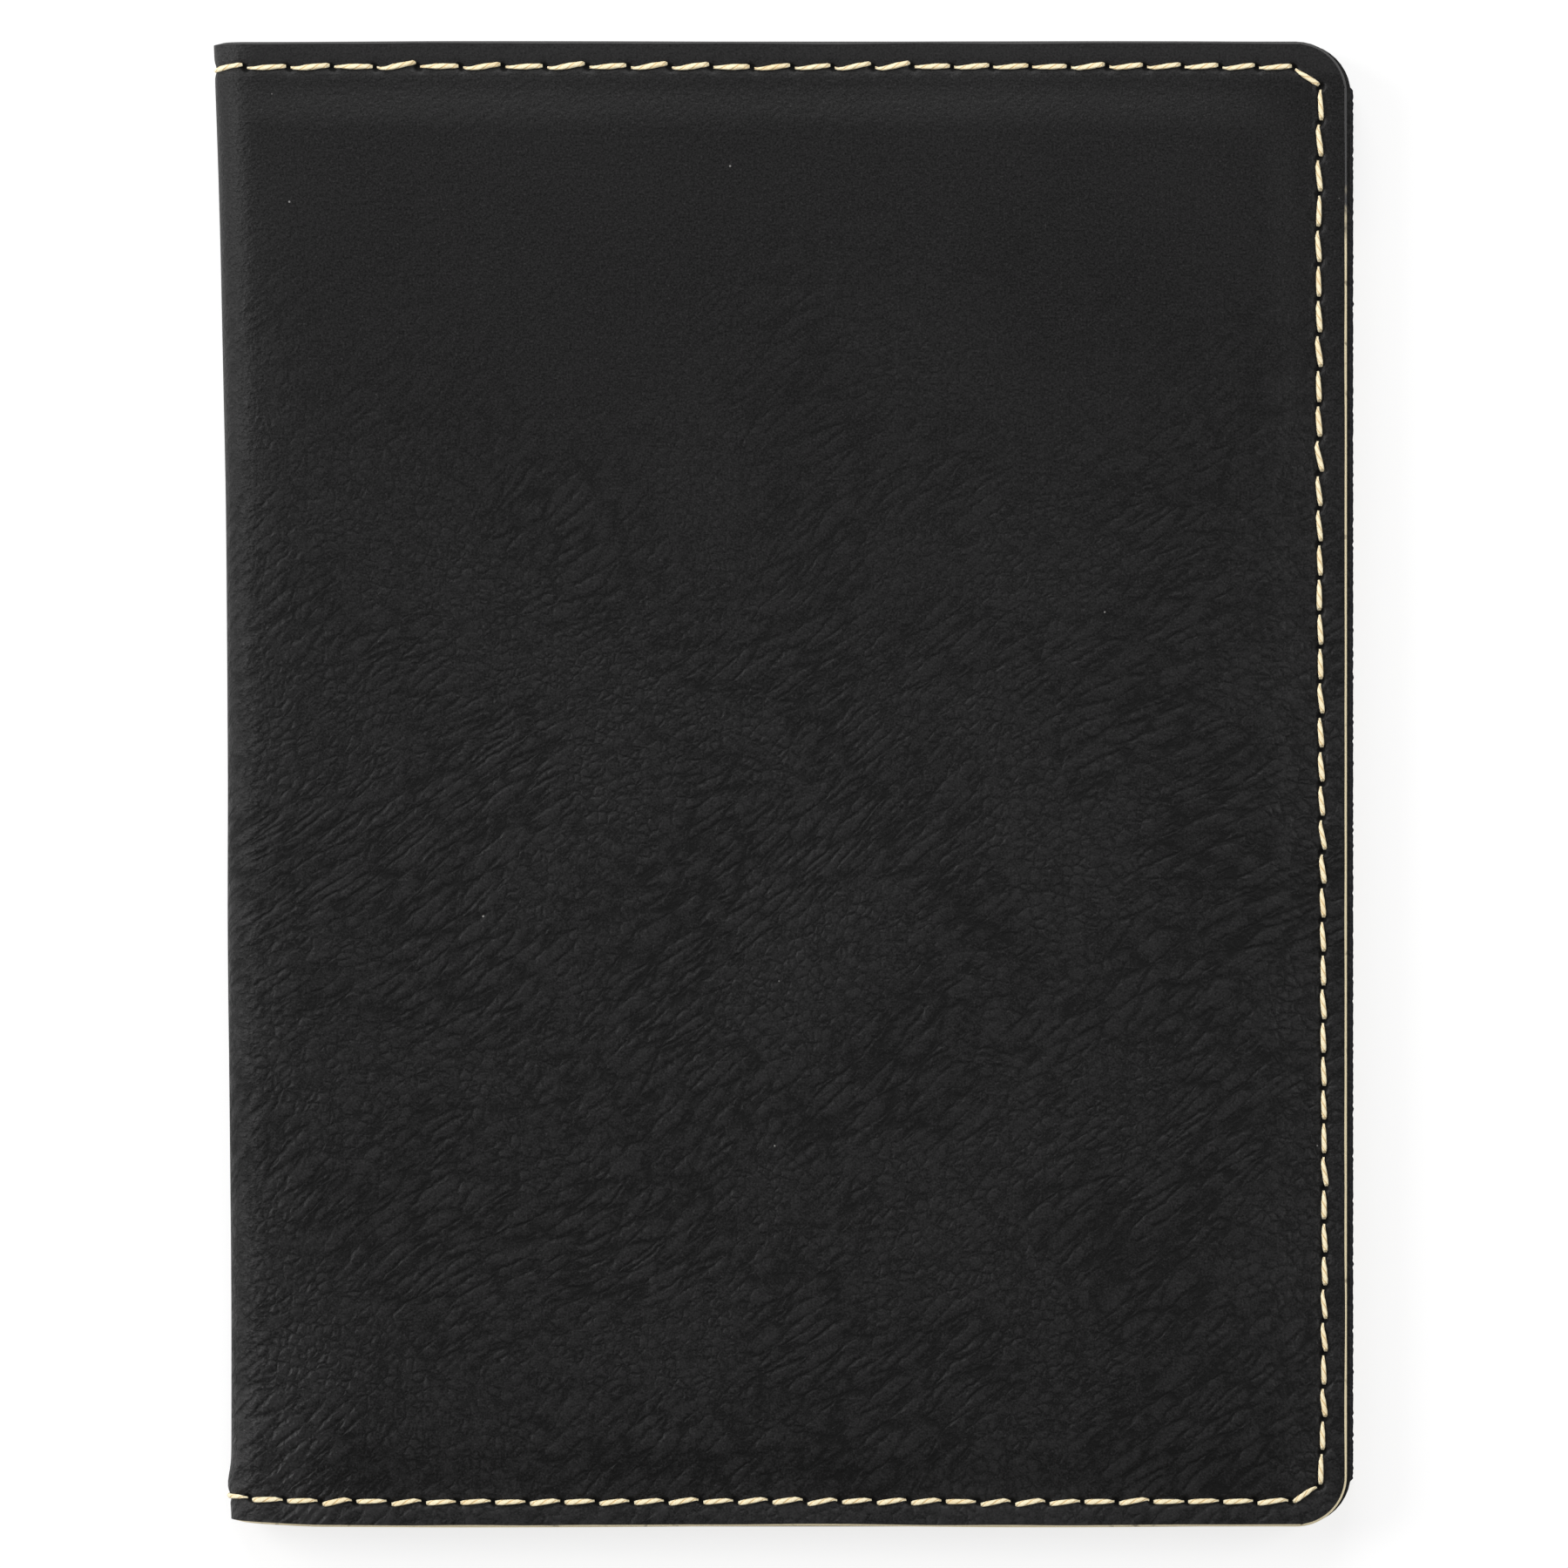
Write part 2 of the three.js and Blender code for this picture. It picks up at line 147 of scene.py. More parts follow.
class HolderColours(bpy.types.PropertyGroup):
    """Colours of the holder's materials."""

    leather: bpy.props.FloatVectorProperty(
        name="Leatherette", description="Base of the leatherette", subtype="COLOR", size=3,
        default=(0.0092, 0.009, 0.0092),
    )
    lining: bpy.props.FloatVectorProperty(
        name="Lining", description="Base of the lining", subtype="COLOR", size=3, default=(0.012, 0.014, 0.022)
    )
    core: bpy.props.FloatVectorProperty(
        name="Cut edge", description="Backing that shows at a cut edge", subtype="COLOR", size=3,
        default=(1.0, 0.86, 0.56),
    )
    thread: bpy.props.FloatVectorProperty(
        name="Thread", description="Sewing thread", subtype="COLOR", size=3, default=(1.0, 0.88, 0.6)
    )
    board: bpy.props.FloatVectorProperty(
        name="Board", description="Stiffening board", subtype="COLOR", size=3, default=(0.28, 0.23, 0.17)
    )


def sizes():
    return bpy.context.scene.holder_sizes


def colours():
    return bpy.context.scene.holder_colours


def smooth(value, start, end):
    """0 before start, 1 after end, and an even rise between them."""
    t = min(1.0, max(0.0, (value - start) / (end - start)))
    return t * t * (3 - 2 * t)


def lerp(a, b, share):
    return a + (b - a) * share


def inset_from_edge(s, y, length, radius):
    """How far a point of a flat cover lies in from its nearest cut edge."""
    across = s - (length - radius)
    up = abs(y) - (HALF_HEIGHT - radius)
    if across > 0 and up > 0:
        return radius - math.hypot(across, up)
    return min(length - s, HALF_HEIGHT - abs(y))


def panel_share(inset):
    """0 over the sewn margin and 1 over the board, with the panel's slope between them."""
    return smooth(inset, sizes().margin, sizes().margin + sizes().slope)


def trimmed(s, y):
    """The hand-cut head and foot: both wander, and the foot is short beside the spine."""
    wander = 0.14 * MM * noise.noise(Vector((s / (24 * MM), math.copysign(4.0, y), 0.5)))
    short = 0.4 * MM * (1 - smooth(s, 0, 10 * MM)) * smooth(-y, HALF_HEIGHT / 2, HALF_HEIGHT)
    return y + wander * smooth(abs(y), HALF_HEIGHT / 2, HALF_HEIGHT) + short


class Fold:
    """Lays a flat sheet round the spine: s runs from the spine's middle to one fore-edge."""

    def __init__(self, cover, radius, formed=False):
        self.cover = cover
        self.radius = radius
        self.formed = formed
        self.arc = radius * math.pi / 2
        self.leaf = FORE_X[cover] - FOLD_X
        self.length = self.arc + self.leaf

    def lean(self, y):
        """The fold stands out at the head and lies back at the foot, but not at the foot's seam."""
        head = max(0.0, y / HALF_HEIGHT) ** 2
        foot = smooth(-y, 10 * MM, 50 * MM)
        seam = math.exp(-(((y + HALF_HEIGHT - 3.4 * MM) / (1.6 * MM)) ** 2))
        return sizes().fold_lean * (head - 0.2 - 0.25 * foot + 0.25 * seam)

    def place(self, s, y, rise):
        """Where a flat point goes that stands this far out from the sheet's middle."""
        angle = min(s, self.arc) / self.radius
        reach = self.radius + rise
        if self.formed:
            reach += RELIEF * (1 - panel_share(HALF_HEIGHT - abs(y)))
        x = max(0.0, s - self.arc) - reach * math.cos(angle)
        share = min(1.0, max(0.0, x / self.leaf))
        x -= self.lean(y) * (1 - share)
        z = MID_Z + self.cover * (self.radius + rise) * math.sin(angle)
        return Vector((FOLD_X + x, trimmed(s, y), z))


class Seam:
    """The seam of one flat cover: bottom edge, fore-edge and top edge, from spine to spine."""

    def __init__(self, length, inset, radius):
        self.run = length - inset - radius
        self.rise = 2 * (HALF_HEIGHT - inset - radius)
        self.turn = radius * math.pi / 2
        self.radius = radius
        self.low = -HALF_HEIGHT + inset
        self.length = 2 * self.run + 2 * self.turn + self.rise

    def at(self, distance):
        """The point at a distance along the seam, and the way that the seam runs there."""
        if distance > self.length - self.run - self.turn:
            point, way = self.at(self.length - distance)
            return Vector((point.x, -point.y, 0)), Vector((-way.x, way.y, 0))
        if distance < self.run:
            return Vector((distance, self.low, 0)), Vector((1, 0, 0))
        past = distance - self.run
        if past < self.turn:
            angle = past / self.radius
            centre = Vector((self.run, self.low + self.radius, 0))
            way = Vector((math.cos(angle), math.sin(angle), 0))
            return centre + Vector((way.y, -way.x, 0)) * self.radius, way
        height = self.low + self.radius + past - self.turn
        wander = 0.25 * MM * math.sin(height / (26 * MM)) * smooth(HALF_HEIGHT - abs(height), 4 * MM, 10 * MM)
        return Vector((self.run + self.radius - wander, height, 0)), Vector((0, 1, 0))

    def pitch(self, distance):
        """Hand-fed sewing: even along the bottom, closer up the fore-edge, longer along the top."""
        corner = self.run + self.turn
        up = min(1.0, max(0.0, (distance - corner) / self.rise))
        back = max(0.0, (distance - corner - self.rise) / self.run)
        return lerp(lerp(3.08, 3.36, up), 4.1, back**0.8) * MM if up else 3.28 * MM

    def holes(self):
        places = [0.0]
        while places[-1] < self.length:
            places.append(places[-1] + self.pitch(places[-1]))
        return [place * self.length / places[-1] for place in places]


def cover_seam(fold):
    inset = sizes().seam_inset
    return Seam(fold.length, inset, sizes().corner_radius - inset)


def new_object(name, bm, materials):
    mesh = bpy.data.meshes.new(name)
    bm.to_mesh(mesh)
    bm.free()
    for material in materials:
        mesh.materials.append(material)
    obj = bpy.data.objects.new(name, mesh)
    bpy.context.scene.collection.objects.link(obj)
    return obj


def rounded_blank(length, corner, step):
    """A flat cover blank, both halves, as one face whose edge has a point every step."""
    bm = bmesh.new()
    bmesh.ops.create_grid(bm, x_segments=1, y_segments=1, size=1)
    bmesh.ops.scale(bm, vec=(length, HALF_HEIGHT, 1), verts=bm.verts)
    bmesh.ops.bevel(
        bm, geom=list(bm.verts), offset=corner, affect="VERTICES", segments=18, profile=0.5, material=-1
    )
    for edge in [e for e in bm.edges if e.calc_length() > 10 * MM]:
        bmesh.ops.subdivide_edges(bm, edges=[edge], cuts=round(edge.calc_length() / step))
    return bm


def ring_in(bm, insets):
    """Draws rings in from the blank's edge, at these distances from it."""
    bm.faces.ensure_lookup_table()
    middle = bm.faces[0]
    for before, inset in zip([0.0, *insets], insets):
        bmesh.ops.inset_region(
            bm, faces=[middle], thickness=inset - before, use_even_offset=True, use_boundary=True
        )


def cut_lines(bm, places, axis):
    """Cuts the sheet along straight lines, square to an axis."""
    normal = Vector((1, 0, 0)) if axis == 0 else Vector((0, 1, 0))
    for place in places:
        geometry = [*bm.verts, *bm.edges, *bm.faces]
        bmesh.ops.bisect_plane(bm, geom=geometry, dist=1e-7, plane_co=normal * place, plane_no=normal)


def keep_half(bm):
    geometry = [*bm.verts, *bm.edges, *bm.faces]
    bmesh.ops.bisect_plane(
        bm, geom=geometry, dist=1e-7, plane_co=(0, 0, 0), plane_no=(1, 0, 0), clear_inner=True
    )


def steps(start, end, step):
    count = max(1, round((end - start) / step))
    return [start + (end - start) * i / count for i in range(count + 1)]


def give_thickness(bm, thickness):
    """Makes the flat sheet a slab under its own face, and returns the lower points."""
    made = bmesh.ops.extrude_face_region(bm, geom=list(bm.faces))
    lower = [v for v in made["geom"] if isinstance(v, bmesh.types.BMVert)]
    bmesh.ops.translate(bm, vec=(0, 0, -thickness), verts=lower)
    bmesh.ops.recalc_face_normals(bm, faces=list(bm.faces))
    return lower


def shade(bm):
    """Smooth faces, with a hard edge wherever the sheet's own edge turns."""
    for face in bm.faces:
        face.smooth = True
    for edge in bm.edges:
        if len(edge.link_faces) == 2 and edge.calc_face_angle(0) > math.radians(40):
            edge.smooth = False


def rim_faces(bm):
    return [f for f in bm.faces if abs(f.normal.z) < 0.6]


def cover_sheet(fold, thickness, insets, fine):
    """A flat half cover with rings along its cut edges and close lines over the fold."""
    s = sizes()
    bm = rounded_blank(fold.length, s.corner_radius, fine)
    ring_in(bm, insets)
    keep_half(bm)
    bend_end = fold.arc + 1.5 * MM
    slope_start = fold.length - s.margin - s.slope - SLOPE_LEAD
    lines = [0.05 * MM, *steps(FINE_STEP, bend_end, FINE_STEP)]
    lines += steps(bend_end + 2 * MM, slope_start, WIDE_STEP)
    lines += steps(slope_start + SLOPE_STEP, fold.length - insets[-1], SLOPE_STEP)
    cut_lines(bm, lines, 0)
    edge = HALF_HEIGHT - insets[-1]
    slope_low = HALF_HEIGHT - s.margin - s.slope - SLOPE_LEAD
    heights = steps(-slope_low, slope_low, WIDE_STEP)
    heights += [sign * y for sign in (-1, 1) for y in steps(slope_low + SLOPE_STEP, edge, SLOPE_STEP)]
    cut_lines(bm, heights, 1)
    lower = give_thickness(bm, thickness)
    return bm, lower


def lay_on_fold(bm, fold, height):
    """Moves every flat point to its place round the fold; height gives its rise from the flat."""
    layer = bm.loops.layers.uv.new("flat")
    for face in bm.faces:
        for loop in face.loops:
            x, y, _ = loop.vert.co
            loop[layer].uv = (fold.cover * x / MM / UV_SPAN, y / MM / UV_SPAN)
    for vert in bm.verts:
        x, y, z = vert.co
        vert.co = fold.place(x, y, z + height(x, y, z))
    bmesh.ops.recalc_face_normals(bm, faces=list(bm.faces))
    shade(bm)


def bend_with_fold(obj, cover):
    """Bakes the sheet's placement into its mesh, the same way for either cover."""
    if cover == 1:
        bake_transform(obj)
    else:
        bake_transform(obj)


def needle_holes(seam, holes):
    cells = {}
    for hole in holes:
        point, way = seam.at(hole)
        key = (round(point.x / HOLE_CELL), round(point.y / HOLE_CELL))
        cells.setdefault(key, []).append((point, way))
    return cells


def hole_at(cells, s, y):
    """How deep in a needle hole a point is, from 0 to 1; each hole is a short slanting cut."""
    column, row = round(s / HOLE_CELL), round(y / HOLE_CELL)
    deepest = 0.0
    for i in (-1, 0, 1):
        for j in (-1, 0, 1):
            for hole, way in cells.get((column + i, row + j), ()):
                ahead = (s - hole.x) * way.x + (y - hole.y) * way.y
                aside = (y - hole.y) * way.x - (s - hole.x) * way.y
                slit = (ahead - aside) / (0.62 * MM)
                wide = (ahead + aside) / (0.4 * MM)
                deepest = max(deepest, math.exp(-slit * slit - wide * wide))
    return deepest


class HOLDER_OT_leather(bpy.types.Operator):
    """Make the outer leatherette, one sheet folded at the spine, in two halves"""

    bl_idname = "holder.leather"
    bl_label = "Outer leatherette"

    def execute(self, context):
        s = sizes()
        for cover in (1, -1):
            fold = Fold(cover, OUTER_RADIUS - LEATHER / 2, formed=True)
            bm, lower = cover_sheet(fold, LEATHER, [ring * MM for ring in LEATHER_RINGS], 0.32 * MM)
            seam = cover_seam(fold)
            cells = needle_holes(seam, seam.holes())
            panel_corner = s.margin + s.slope + PANEL_CORNER

            def height(x, y, z):
                inset = inset_from_edge(x, y, fold.length, s.corner_radius)
                rise = LEATHER / 2 - RELIEF * (1 - panel_share(inset_from_edge(x, y, fold.length, panel_corner)))
                crown = smooth(inset, 3 * MM, 20 * MM) * smooth(x, fold.arc - 1.5 * MM, fold.arc + 4 * MM)
                rise += s.pillow * crown
                place = Vector((x / (26 * MM), y / (26 * MM), cover * 3.0))
                rise += 0.06 * MM * noise.noise(place) * smooth(inset, 0, 6 * MM)
                away = abs(inset - s.seam_inset)
                if z > -LEATHER / 2 and away < 2 * MM:
                    rise -= GROOVE_DEPTH * math.exp(-((away / GROOVE_WIDTH) ** 2))
                    rise -= HOLE_DEPTH * hole_at(cells, x, y)
                return rise

            for vert in set(bm.verts) - set(lower):
                if inset_from_edge(*vert.co.xy, fold.length, s.corner_radius) < 0.05 * MM:
                    self.slant_edge(vert, fold, s)
            hole_layer = bm.verts.layers.float.new("needle_hole")
            for vert in bm.verts:
                if abs(inset_from_edge(*vert.co.xy, fold.length, s.corner_radius) - s.seam_inset) < 1 * MM:
                    vert[hole_layer] = hole_at(cells, *vert.co.xy)
            bmesh.ops.recalc_face_normals(bm, faces=list(bm.faces))
            for face in rim_faces(bm):
                if face.calc_center_median().x > 0.01 * MM:
                    face.material_index = 1
            lay_on_fold(bm, fold, height)
            name = f"{COVER_NAME[cover]}_leatherette"
            obj = new_object(name, bm, [leather_material(), edge_material()])
            nodes = [f"{COVER_NAME[cover]}_cover_leather"]
            if cover == 1:
                nodes.append("spine_leather")
            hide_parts(*nodes)
            bend_with_fold(obj, cover)
        return {"FINISHED"}

    def slant_edge(self, vert, fold, s):
        """Draws the upper rim in, so that the cut edge slants and its backing shows."""
        wander = 0.5 + 0.5 * noise.noise(Vector((vert.co.x / (9 * MM), vert.co.y / (9 * MM), 7.0)))
        share = s.skive * lerp(0.6, 1.1, wander)
        centre_x = min(vert.co.x, fold.length - s.corner_radius)
        limit = HALF_HEIGHT - s.corner_radius
        centre_y = max(-limit, min(limit, vert.co.y))
        inwards = Vector((centre_x - vert.co.x, centre_y - vert.co.y, 0))
        if inwards.length > 0:
            vert.co += inwards.normalized() * share


class HOLDER_OT_lining(bpy.types.Operator):
    """Make the lining, one cloth folded inside the leatherette, in two halves"""

    bl_idname = "holder.lining"
    bl_label = "Lining"

    def execute(self, context):
        middle = LINING_HIGH.z - LINING / 2 - MID_Z
        for cover in (1, -1):
            fold = Fold(cover, middle)
            bm, _ = cover_sheet(fold, LINING - LINING_GAP, [ring * MM for ring in LINING_RINGS], FINE_STEP)
            half = (LINING - LINING_GAP) / 2
            for vert in bm.verts:
                if cover == -1 and fold.length - vert.co.x < 0.05 * MM:
                    vert.co.x += 0.25 * MM + 0.12 * MM * noise.noise(Vector((vert.co.y / (0.35 * MM), 1.0, 5.0)))

            def height(x, y, z):
                frill = noise.noise(Vector((x / (1.2 * MM), y / (1.2 * MM), 2.0)))
                return half + 0.02 * MM * frill

            lay_on_fold(bm, fold, height)
            name = f"{COVER_NAME[cover]}_lining_cloth"
            obj = new_object(name, bm, [lining_material()])
            nodes = [f"{COVER_NAME[cover]}_lining"]
            if cover == 1:
                nodes.append("spine_lining")
            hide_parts(*nodes)
            bend_with_fold(obj, cover)
        return {"FINISHED"}


def stitch_form(length, width, slant):
    """One stitch: a two-ply strand that leans over the seam and dives into both its holes."""
    bm = bmesh.new()
    bmesh.ops.create_grid(bm, x_segments=7, y_segments=8, size=0.5)
    layer = bm.loops.layers.uv.new("strand")
    for face in bm.faces:
        for loop in face.loops:
            loop[layer].uv = ((loop.vert.co.x + 0.5) * length / MM, loop.vert.co.y + 0.5)
    for vert in bm.verts:
        along = vert.co.x + 0.5
        u = lerp(along, 0.5 - 0.5 * math.cos(math.pi * along), 0.6)
        angle = (vert.co.y + 0.5) * 2 * math.pi
        ply = 1 - 0.1 * math.cos(2 * angle + 2 * math.pi * 1.1 * u * length / MM)
        slim = 1 - 0.55 * smooth(u, 0.6, 1) - 0.3 * (1 - smooth(u, 0, 0.14))
        dive = smooth(abs(2 * u - 1), 0.78, 1)
        aside = math.tan(slant) * length * (u - 0.5) * (1 - 0.8 * smooth(u, 0.84, 1))
        vert.co = Vector((
            (u - 0.5) * length,
            aside + math.cos(angle) * width / 2 * ply * slim,
            width * (0.3 - 0.75 * dive) + math.sin(angle) * width * 0.4 * ply * slim,
        ))
    bmesh.ops.remove_doubles(bm, verts=bm.verts, dist=1e-7)
    bmesh.ops.holes_fill(bm, edges=[e for e in bm.edges if e.is_boundary], sides=8)
    bmesh.ops.recalc_face_normals(bm, faces=list(bm.faces))
    for face in bm.faces:
        face.smooth = True
    mesh = bpy.data.meshes.new("stitch_form")
    bm.to_mesh(mesh)
    bm.free()
    return mesh


def sew(seam, holes, mirror, seed):
    """Lays stitches on the flat from hole to hole."""
    chance = random.Random(seed)
    s = sizes()
    bm = bmesh.new()
    for first, second in zip(holes, holes[1:]):
        start, _ = seam.at(first)
        end, _ = seam.at(second)
        way = end - start
        length = (way.length - s.stitch_gap) * chance.uniform(0.98, 1.02)
        slant = s.stitch_slant + chance.gauss(0, math.radians(3))
        form = stitch_form(length, s.thread_width * chance.uniform(0.93, 1.07), slant * mirror)
        turn = Matrix.Rotation(math.atan2(way.y, way.x) + chance.gauss(0, math.radians(0.8)), 4, "Z")
        aside = Vector((-way.y, way.x, 0)).normalized() * chance.gauss(0, 0.025 * MM)
        form.transform(Matrix.Translation((start + end) / 2 + aside) @ turn)
        bm.from_mesh(form)
        bpy.data.meshes.remove(form)
    return bm


class HOLDER_OT_outer_seams(bpy.types.Operator):
    """Sew the seam that shows on the outside, round three edges and over the fold"""

    bl_idname = "holder.outer_seams"
    bl_label = "Outer seams"

    def execute(self, context):
        for cover in (1, -1):
            fold = Fold(cover, OUTER_RADIUS - LEATHER / 2, formed=True)
            seam = cover_seam(fold)
            rise = LEATHER / 2 - RELIEF - THREAD_SINK
            bm = sew(seam, seam.holes(), 1, 11 + cover)
            lay_on_fold(bm, fold, lambda x, y, z: rise)
            side = COVER_NAME[cover]
            obj = new_object(f"{side}_outer_stitches", bm, [thread_material()])
            nodes = [f"{side}_seam_thread"]
            if cover == 1:
                nodes += ["spine_top_thread", "spine_bottom_thread"]
            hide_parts(*nodes)
            bend_with_fold(obj, cover)
        return {"FINISHED"}


class HOLDER_OT_inner_seams(bpy.types.Operator):
    """Sew the same seam's inner thread, on the lining and the pockets"""

    bl_idname = "holder.inner_seams"
    bl_label = "Inner seams"

    def execute(self, context):
        for cover in (1, -1):
            fold = Fold(cover, LINING_HIGH.z - LINING / 2 - MID_Z)
            outer = Fold(cover, OUTER_RADIUS - LEATHER / 2)
            seam = cover_seam(fold)
            outer_seam = cover_seam(outer)
            share = seam.length / outer_seam.length
            holes = [place * share for place in outer_seam.holes()]
            bm = sew(seam, holes, -1, 31 + cover)
            bmesh.ops.scale(bm, vec=(1, 1, -0.8), verts=bm.verts)
            depth = inner_depth(cover, fold)
            lay_on_fold(bm, fold, depth)
            obj = new_object(f"{COVER_NAME[cover]}_inner_stitches", bm, [thread_material()])
            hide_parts(f"{COVER_NAME[cover]}_inner_thread")
            bend_with_fold(obj, cover)
        return {"FINISHED"}


def inner_depth(cover, fold):
    """How far in from the lining the face lies that the inner thread runs on."""
    lining_face = (LINING - LINING_GAP) / 2
    if cover == 1:
        layers = ["front_sleeve", "upper_card_pocket", "lower_card_pocket"]
    else:
        layers = ["back_sleeve"]
    boxes = [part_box(node) for node in layers]

    def depth(s, y, z):
        x = FOLD_X + s - fold.arc
        inward = lining_face
        for low, high in boxes:
            on_sheet = smooth(x, low.x - 0.8 * MM, low.x) * smooth(high.y + 0.8 * MM - y, 0, 0.8 * MM)
            inward += (high.z - low.z) * on_sheet
        return -inward

    return depth


def pocket_blank(node, corners, radius, lines, axis):
    """A flat pocket as large as its node, with these corners rounded, and lines by its mouth."""
    low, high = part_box(node)
    bm = bmesh.new()
    bmesh.ops.create_grid(bm, x_segments=1, y_segments=1, size=0.5)
    bmesh.ops.scale(bm, vec=(high.x - low.x, high.y - low.y, 1), verts=bm.verts)
    bmesh.ops.translate(bm, vec=((low.x + high.x) / 2, (low.y + high.y) / 2, 0), verts=bm.verts)
    for (side, level), size in zip(corners, radius):
        x = high.x if side > 0 else low.x
        y = high.y if level > 0 else low.y
        picked = [v for v in bm.verts if (v.co.xy - Vector((x, y))).length < 1e-6]
        bmesh.ops.bevel(
            bm, geom=picked, offset=size, affect="VERTICES", segments=10, profile=0.5, material=-1
        )
    cut_lines(bm, lines, axis)
    cut_lines(bm, steps(low.y + 6 * MM, high.y - 2 * MM, WIDE_STEP), 1)
    cut_lines(bm, steps(low.x + 6 * MM, high.x - 2 * MM, WIDE_STEP), 0)
    return bm, low, high


def make_pocket(node, name, cover, corners, radius, mouth_axis):
    """A pocket of thin leatherette, with a line creased in beside its mouth and soft rims."""
    low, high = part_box(node)
    mouth = low.x if mouth_axis == 0 else high.y
    inwards = 1 if mouth_axis == 0 else -1
    press = [mouth + inwards * d * MM for d in (0.35, 1.5, 1.75, 2.0, 2.25, 2.5)]
    bm, low, high = pocket_blank(node, corners, radius, press, mouth_axis)
    thickness = high.z - low.z - 0.04 * MM
    lower = set(give_thickness(bm, thickness))
    face_z = low.z + 0.02 * MM if cover == 1 else high.z - 0.02 * MM
    for vert in bm.verts:
        from_mouth = abs(vert.co[mouth_axis] - mouth)
        bulge = 0.05 * MM * noise.noise(Vector((vert.co.x / (18 * MM), vert.co.y / (18 * MM), len(node))))
        groove = 0.1 * MM * math.exp(-(((from_mouth - 2.0 * MM) / (0.22 * MM)) ** 2))
        inner_face = vert not in lower
        depth = (groove - min(0.0, bulge)) if inner_face else thickness
        vert.co.z = face_z + cover * depth
    bmesh.ops.recalc_face_normals(bm, faces=list(bm.faces))
    rim = [e for e in bm.edges if len(e.link_faces) == 2 and e.calc_face_angle(0) > math.radians(60)]
    bmesh.ops.bevel(
        bm, geom=rim, offset=0.07 * MM, affect="EDGES", segments=2, profile=0.5, material=-1, clamp_overlap=True
    )
    shade(bm)
    obj = new_object(name, bm, [pocket_material()])
    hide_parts(node)
    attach(obj, f"{COVER_NAME[cover]}_cover")
    return obj


class HOLDER_OT_pockets(bpy.types.Operator):
    """Make the two sleeves and the card pockets inside the covers"""

    bl_idname = "holder.pockets"
    bl_label = "Sleeves and card pockets"

    def execute(self, context):
        fore = sizes().corner_radius
        mouth = 1.5 * MM
        four = [(1, 1), (1, -1), (-1, 1), (-1, -1)]
        make_pocket("back_sleeve", "passport_sleeve", -1, four, [fore, fore, mouth, mouth], 0)
        make_pocket("front_sleeve", "document_sleeve", 1, four, [fore, fore, mouth, mouth], 0)
        for node in ("upper_card_pocket", "lower_card_pocket"):
            make_pocket(node, f"{node}_sheet", 1, [(1, -1), (-1, 1)], [fore, mouth], 1)
        self.sew_card_pockets()
        return {"FINISHED"}

    def sew_card_pockets(self):
        """The short seam beside the sleeve's mouth that closes the card pockets."""
        low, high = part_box("card_pocket_thread")
        count = round((high.y - low.y) / (3.1 * MM))
        places = steps(low.y, high.y, (high.y - low.y) / count)
        line = StraightSeam((low.x + high.x) / 2)
        bm = sew(line, places, -1, 51)
        bmesh.ops.scale(bm, vec=(1, 1, -0.8), verts=bm.verts)
        bmesh.ops.translate(bm, vec=(0, 0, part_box("lower_card_pocket")[0].z), verts=bm.verts)
        bmesh.ops.recalc_face_normals(bm, faces=list(bm.faces))
        obj = new_object("card_pocket_stitches", bm, [thread_material()])
        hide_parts("card_pocket_thread")
        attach(obj, "front_cover")


class StraightSeam:
    """A seam straight up the height at one place across."""

    def __init__(self, x):
        self.x = x

    def at(self, distance):
        return Vector((self.x, distance, 0)), Vector((0, 1, 0))


class HOLDER_OT_boards(bpy.types.Operator):
    """Give the stiffening boards their pulp finish"""

    bl_idname = "holder.boards"
    bl_label = "Boards"

    def execute(self, context):
        for node in ("front_board", "back_board"):
            mesh = bpy.data.objects[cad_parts[node].name].data
            mesh.materials.clear()
            mesh.materials.append(board_material())
        return {"FINISHED"}


class Value:
    """A socket that Python's operators can work with: each one adds its Math node."""

    def __init__(self, graph, socket):
        self.graph = graph
        self.socket = socket

    def math(self, operation, *others):
        inputs = {i: other for i, other in enumerate(others)}
        return self.graph.node("ShaderNodeMath", {"operation": operation}, inputs)

    def __add__(self, other):
        return self.math("ADD", self, other)

    __radd__ = __add__

    def __sub__(self, other):
        return self.math("SUBTRACT", self, other)

    def __rsub__(self, other):
        return self.math("SUBTRACT", other, self)

    def __mul__(self, other):
        return self.math("MULTIPLY", self, other)

    __rmul__ = __mul__

    def math_abs(self):
        return self.math("ABSOLUTE", self)

    def sine(self):
        return self.math("SINE", self)

    def over(self, low, high):
        """0 below low and 1 above high, with an even rise between them."""
        settings = {"interpolation_type": "SMOOTHSTEP"}
        return self.graph.node("ShaderNodeMapRange", settings, {0: self, 1: low, 2: high})


